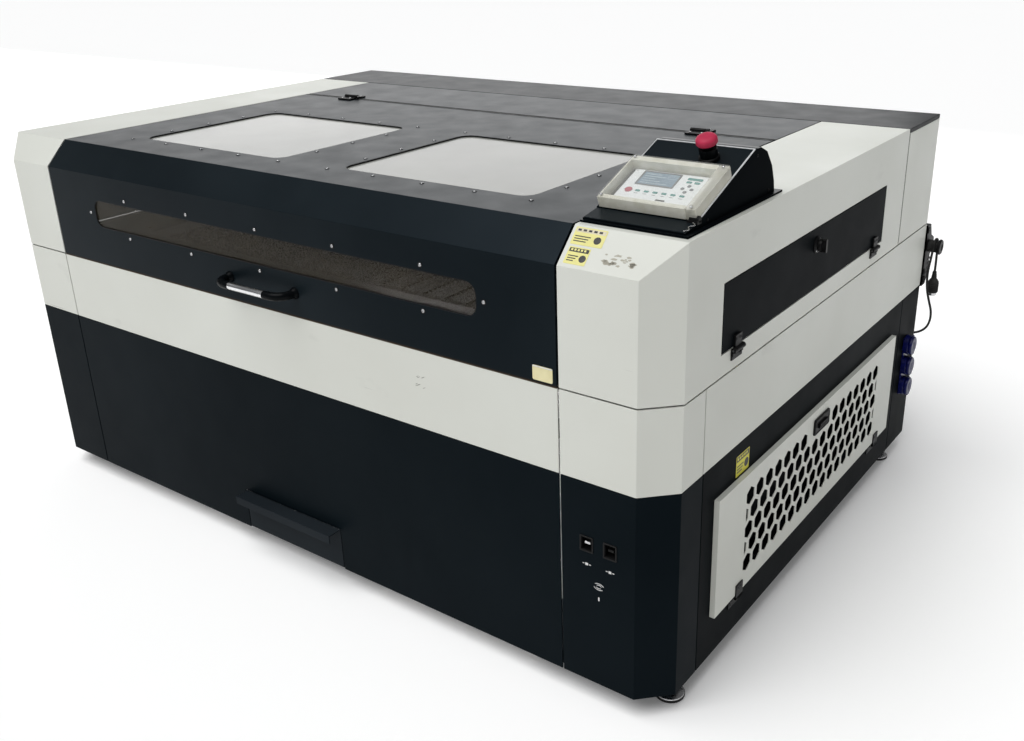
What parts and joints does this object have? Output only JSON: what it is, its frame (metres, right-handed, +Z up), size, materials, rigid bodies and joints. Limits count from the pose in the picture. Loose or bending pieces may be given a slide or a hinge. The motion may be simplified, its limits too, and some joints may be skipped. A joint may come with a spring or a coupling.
{
  "type": "laser engraver and cutter",
  "caption": "Floor-standing laser engraving and cutting cabinet with a hinged windowed lid, sloped control console, lifting bed, side pass-through door and debris drawer.",
  "frame": {"origin": "under the middle of the machine's bounding box, on the floor", "axes": "+X to the machine's right, +Y to its back, +Z up"},
  "size_m": [1.996, 1.48, 1.0556],
  "materials": {
    "navy_panel": "satin powder coat, near-black navy",
    "white_panel": "satin powder coat, light warm grey-white",
    "frame_steel": "matt black frame paint",
    "black_plastic": "black, satin",
    "case_grey": "coated instrument case",
    "bright_steel": "zinc-plated or ground steel",
    "aluminium": "anodised, satin",
    "rubber": "matt black",
    "amber_acrylic": "amber laser-safe acrylic",
    "clear_acrylic": "clear acrylic",
    "tube_glass": "clear borosilicate",
    "keypad_film": "white membrane keypad with a grey display",
    "red_plastic": "red",
    "blue_plastic": "dark blue"
  },
  "bodies": {
    "root": {"base_frame": "frame_steel", "foot_front_left": "rubber", "foot_rear_left": "rubber", "foot_front_right": "rubber", "foot_rear_right": "rubber", "lower_front_panel": "navy_panel", "front_post_left": "navy_panel", "front_post_right": "navy_panel", "side_panel_left": "navy_panel", "side_panel_right": "navy_panel", "rear_panel": "navy_panel", "band_front": "white_panel", "band_corner_left": "white_panel", "band_corner_right": "white_panel", "band_left": "white_panel", "band_right": "white_panel", "band_rear": "white_panel", "cap_left": "white_panel", "cap_right": "white_panel", "top_bridge": "navy_panel", "rear_shroud": "white_panel", "work_deck": "white_panel", "y_rail_left": "aluminium", "y_rail_right": "aluminium", "console_housing": "black_plastic", "keypad": "keypad_film", "socket_block": "blue_plastic", "cord_hook": "frame_steel", "cord_gland": "rubber", "exhaust_collar": "bright_steel", "laser_tube": "tube_glass", "tube_cradle": "aluminium", "power_supply": "case_grey", "motion_controller": "case_grey", "lift_motor": "frame_steel", "cord_lead": "rubber", "cord_plug": "rubber"},
    "lid": {"lid_shell": "navy_panel", "front_window": "amber_acrylic", "top_window_left": "clear_acrylic", "top_window_right": "clear_acrylic", "lid_handle": "aluminium"},
    "rear_cover": {"rear_cover": "navy_panel"},
    "pass_door": {"pass_door": "navy_panel"},
    "pass_knob": {"pass_knob": "black_plastic"},
    "vent_door": {"vent_door": "white_panel"},
    "vent_latch": {"vent_latch": "black_plastic"},
    "drawer": {"debris_drawer": "navy_panel"},
    "clear_cover": {"clear_cover": "clear_acrylic"},
    "estop_button": {"estop_button": "red_plastic"},
    "bed": {"bed_table": "aluminium"},
    "lift_screw_front_left": {"lift_screw_front_left": "bright_steel"},
    "lift_screw_rear_left": {"lift_screw_rear_left": "bright_steel"},
    "lift_screw_front_right": {"lift_screw_front_right": "bright_steel"},
    "lift_screw_rear_right": {"lift_screw_rear_right": "bright_steel"},
    "gantry": {"gantry_beam": "aluminium"},
    "laser_head": {"laser_head": "aluminium"},
    "socket_lid_1": {"socket_lid_1": "blue_plastic"},
    "socket_lid_2": {"socket_lid_2": "blue_plastic"},
    "socket_lid_3": {"socket_lid_3": "blue_plastic"}
  },
  "joints": [
    {"name": "lid_hinge", "type": "hinge", "parent": "root", "child": "lid", "pos_m": [0, 0.174, 0.9305], "axis": [-1, 0, 0], "range_deg": [0, 72]},
    {"name": "rear_cover_hinge", "type": "hinge", "parent": "root", "child": "rear_cover", "pos_m": [0, 0.674, 0.919], "axis": [-1, 0, 0], "range_deg": [0, 80]},
    {"name": "pass_door_hinge", "type": "hinge", "parent": "root", "child": "pass_door", "pos_m": [0.967, -0.0955, 0.685], "axis": [0, 1, 0], "range_deg": [0, 150]},
    {"name": "pass_knob_turn", "type": "hinge", "parent": "pass_door", "child": "pass_knob", "pos_m": [0.962, -0.0955, 0.784], "axis": [1, 0, 0], "range_deg": [0, 90]},
    {"name": "vent_door_hinge", "type": "hinge", "parent": "root", "child": "vent_door", "pos_m": [0.9675, -0.018, 0.137], "axis": [0, 1, 0], "range_deg": [0, 100]},
    {"name": "vent_latch_slide", "type": "slide", "parent": "vent_door", "child": "vent_latch", "axis": [0, 0, -1], "range_m": [0, 0.008]},
    {"name": "drawer_slide", "type": "slide", "parent": "root", "child": "drawer", "axis": [0, -1, 0], "range_m": [0, 0.3]},
    {"name": "clear_cover_hinge", "type": "hinge", "parent": "root", "child": "clear_cover", "pos_m": [0.849, -0.45048, 0.99155], "axis": [-1, 0, 0], "range_deg": [0, 80]},
    {"name": "estop_press", "type": "slide", "parent": "root", "child": "estop_button", "axis": [0, 0.3658, -0.9307], "range_m": [0, 0.006], "stiffness_N_per_m": 600, "springref_m": -0.004},
    {"name": "bed_lift", "type": "slide", "parent": "root", "child": "bed", "axis": [0, 0, 1], "range_m": [-0.2, 0]},
    {"name": "lift_screw_front_left_turn", "type": "hinge", "parent": "root", "child": "lift_screw_front_left", "pos_m": [-0.698, -0.49, 0.0783], "axis": [0, 0, 1], "continuous": true},
    {"name": "lift_screw_rear_left_turn", "type": "hinge", "parent": "root", "child": "lift_screw_rear_left", "pos_m": [-0.698, 0.23, 0.0783], "axis": [0, 0, 1], "continuous": true},
    {"name": "lift_screw_front_right_turn", "type": "hinge", "parent": "root", "child": "lift_screw_front_right", "pos_m": [0.662, -0.49, 0.0783], "axis": [0, 0, 1], "continuous": true},
    {"name": "lift_screw_rear_right_turn", "type": "hinge", "parent": "root", "child": "lift_screw_rear_right", "pos_m": [0.662, 0.23, 0.0783], "axis": [0, 0, 1], "continuous": true},
    {"name": "gantry_slide", "type": "slide", "parent": "root", "child": "gantry", "axis": [0, 1, 0], "range_m": [-0.82, 0.1]},
    {"name": "head_slide", "type": "slide", "parent": "gantry", "child": "laser_head", "axis": [1, 0, 0], "range_m": [-1.12, 0.18]},
    {"name": "socket_lid_1_hinge", "type": "hinge", "parent": "root", "child": "socket_lid_1", "pos_m": [0.978, 0.598, 0.242], "axis": [0, -1, 0], "range_deg": [0, 90], "stiffness_Nm_per_rad": 0.05, "springref_deg": -17.19},
    {"name": "socket_lid_2_hinge", "type": "hinge", "parent": "root", "child": "socket_lid_2", "pos_m": [0.978, 0.598, 0.3005], "axis": [0, -1, 0], "range_deg": [0, 90], "stiffness_Nm_per_rad": 0.05, "springref_deg": -17.19},
    {"name": "socket_lid_3_hinge", "type": "hinge", "parent": "root", "child": "socket_lid_3", "pos_m": [0.978, 0.598, 0.359], "axis": [0, -1, 0], "range_deg": [0, 90], "stiffness_Nm_per_rad": 0.05, "springref_deg": -17.19}
  ],
  "couplings": [
    {"joint": "lift_screw_front_left_turn", "follows": "bed_lift", "rad_per_m": 628.32},
    {"joint": "lift_screw_rear_left_turn", "follows": "bed_lift", "rad_per_m": 628.32},
    {"joint": "lift_screw_front_right_turn", "follows": "bed_lift", "rad_per_m": 628.32},
    {"joint": "lift_screw_rear_right_turn", "follows": "bed_lift", "rad_per_m": 628.32}
  ]
}
